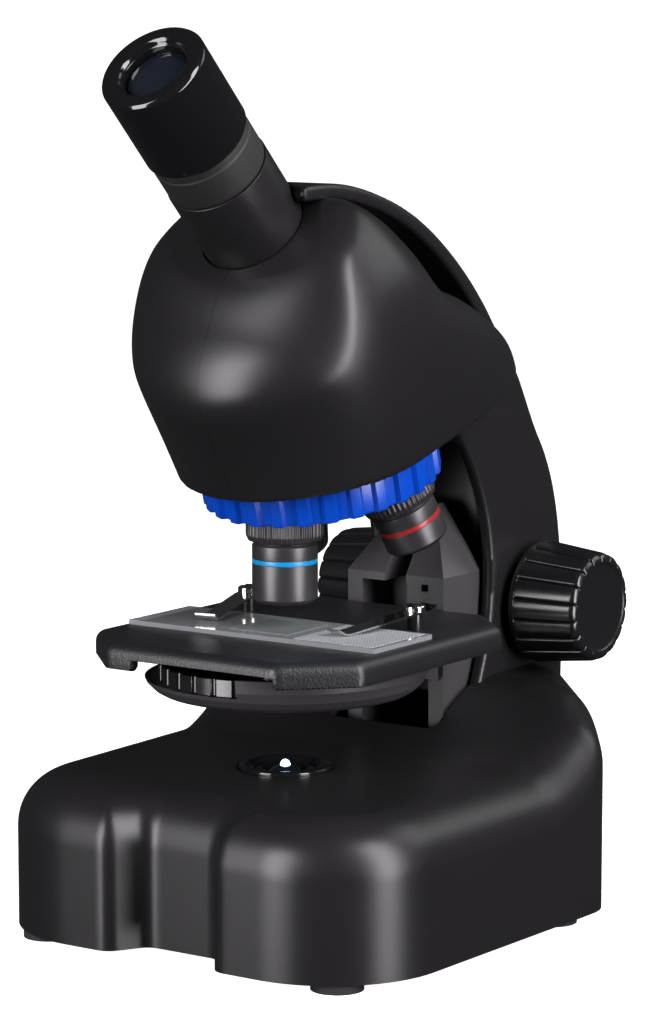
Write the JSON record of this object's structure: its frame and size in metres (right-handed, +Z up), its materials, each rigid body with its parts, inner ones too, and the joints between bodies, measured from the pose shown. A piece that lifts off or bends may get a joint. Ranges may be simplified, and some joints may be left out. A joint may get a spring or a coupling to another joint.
{
  "type": "microscope",
  "caption": "Compact monocular microscope with inclined eyepiece, objective turret, rack-focused stage with clips and slide, filter wheel, carry handle and LED base.",
  "frame": {"origin": "on the table, under the middle of the microscope", "axes": "+Z up along the optical axis of the objective in use; the user sits on the -Y side; X across"},
  "size_m": [0.126, 0.177, 0.2304],
  "materials": {
    "body_graphite": "satin metallic graphite",
    "carriage_grey": "satin dark grey",
    "stage_black": "fine-grained black",
    "ring_blue": "satin blue",
    "gloss_black": "gloss",
    "matt_black": "matt",
    "gunmetal": "turned, dark",
    "band_blue": "paint",
    "band_red": "paint",
    "band_yellow": "paint",
    "lens_glass": "coated",
    "slide_glass": "clear plastic slide",
    "cover_glass": "thin cover",
    "label_paper": "printed label",
    "chrome": "polished",
    "steel": "ground",
    "brass": "turned",
    "mirror": "front silvered",
    "pcb": "solder mask",
    "led_light": "lit",
    "led_dome": "clear dome",
    "battery_wrap": "sleeve",
    "foot_rubber": "matt"
  },
  "bodies": {
    "frame": {"arm_left": "body_graphite", "arm_right": "body_graphite", "arm_screws": "steel", "base_plate": "matt_black", "base_screws": "steel", "base_shell": "body_graphite", "batteries": "battery_wrap", "battery_contacts": "steel", "battery_tray": "matt_black", "carry_handle": "body_graphite", "eyepiece_tube": "body_graphite", "head_left": "body_graphite", "head_right": "body_graphite", "head_screws": "steel", "led_bezel": "gloss_black", "led_board": "pcb", "led_chip": "led_light", "led_lens": "led_dome", "mirror": "mirror", "mirror_mount": "matt_black", "rubber_feet": "foot_rubber", "shaft_bush_left": "brass", "shaft_bush_right": "brass", "switch_housing": "matt_black", "turret_base": "matt_black", "turret_pivot": "steel"},
    "turret": {"turret_ring": "ring_blue", "objective_low_barrel": "gunmetal", "objective_low_band": "band_red", "objective_low_lens": "lens_glass", "objective_mid_barrel": "gunmetal", "objective_mid_band": "band_blue", "objective_mid_lens": "lens_glass", "objective_high_barrel": "gunmetal", "objective_high_band": "band_yellow", "objective_high_lens": "lens_glass"},
    "eyepiece": {"eyepiece_body": "gloss_black", "eyepiece_sleeve": "matt_black", "eye_lens": "lens_glass", "field_lens": "lens_glass"},
    "stage": {"stage_plate": "stage_black", "clip_posts": "chrome", "clip_screws": "chrome", "stage_carriage": "carriage_grey", "carriage_keeper": "steel", "filter_housing": "carriage_grey", "filter_pivot": "steel", "rack": "brass"},
    "filter": {"filter_wheel": "gloss_black"},
    "clip_left": {"stage_clip_left": "chrome"},
    "clip_right": {"stage_clip_right": "chrome"},
    "slide": {"specimen_slide": "slide_glass", "slide_cover": "cover_glass", "slide_label": "label_paper"},
    "focus": {"focus_shaft": "steel", "pinion": "brass", "focus_knob_left": "gloss_black", "focus_knob_right": "gloss_black"},
    "switch": {"switch_rocker": "gloss_black"},
    "door": {"battery_door": "matt_black"}
  },
  "joints": [
    {"name": "focus_turn", "type": "hinge", "parent": "frame", "child": "focus", "pos_m": [0, 0.063, 0.0754], "axis": [1, 0, 0], "range_deg": [-28.7, 157.6]},
    {"name": "stage_travel", "type": "slide", "parent": "frame", "child": "stage", "axis": [0, 0, 1], "range_m": [-0.011, 0.002]},
    {"name": "turret_turn", "type": "hinge", "parent": "frame", "child": "turret", "pos_m": [0, -0.0246, 0.1756], "axis": [0, -0.2588, 0.9659], "continuous": true},
    {"name": "filter_turn", "type": "hinge", "parent": "stage", "child": "filter", "pos_m": [0, -0.0314, 0.068], "axis": [0, 0, 1], "continuous": true},
    {"name": "clip_left_swing", "type": "hinge", "parent": "stage", "child": "clip_left", "pos_m": [-0.0262, -0.0043, 0.0817], "axis": [0, 0, 1], "range_deg": [-20, 35]},
    {"name": "clip_right_swing", "type": "hinge", "parent": "stage", "child": "clip_right", "pos_m": [0.0262, -0.0043, 0.0817], "axis": [0, 0, 1], "range_deg": [-35, 20]},
    {"name": "slide_shift", "type": "slide", "parent": "stage", "child": "slide", "axis": [1, 0, 0], "range_m": [-0.015, 0.015]},
    {"name": "eyepiece_draw", "type": "slide", "parent": "frame", "child": "eyepiece", "axis": [0, -0.7071, 0.7071], "range_m": [0, 0.03]},
    {"name": "switch_rock", "type": "hinge", "parent": "frame", "child": "switch", "pos_m": [0, 0.0829, 0.021], "axis": [1, 0, 0], "range_deg": [-12, 0]},
    {"name": "door_slide", "type": "slide", "parent": "frame", "child": "door", "axis": [0, 1, 0], "range_m": [0, 0.03]}
  ],
  "couplings": [
    {"joint": "focus_turn", "follows": "stage_travel", "rad_per_m": -250}
  ]
}
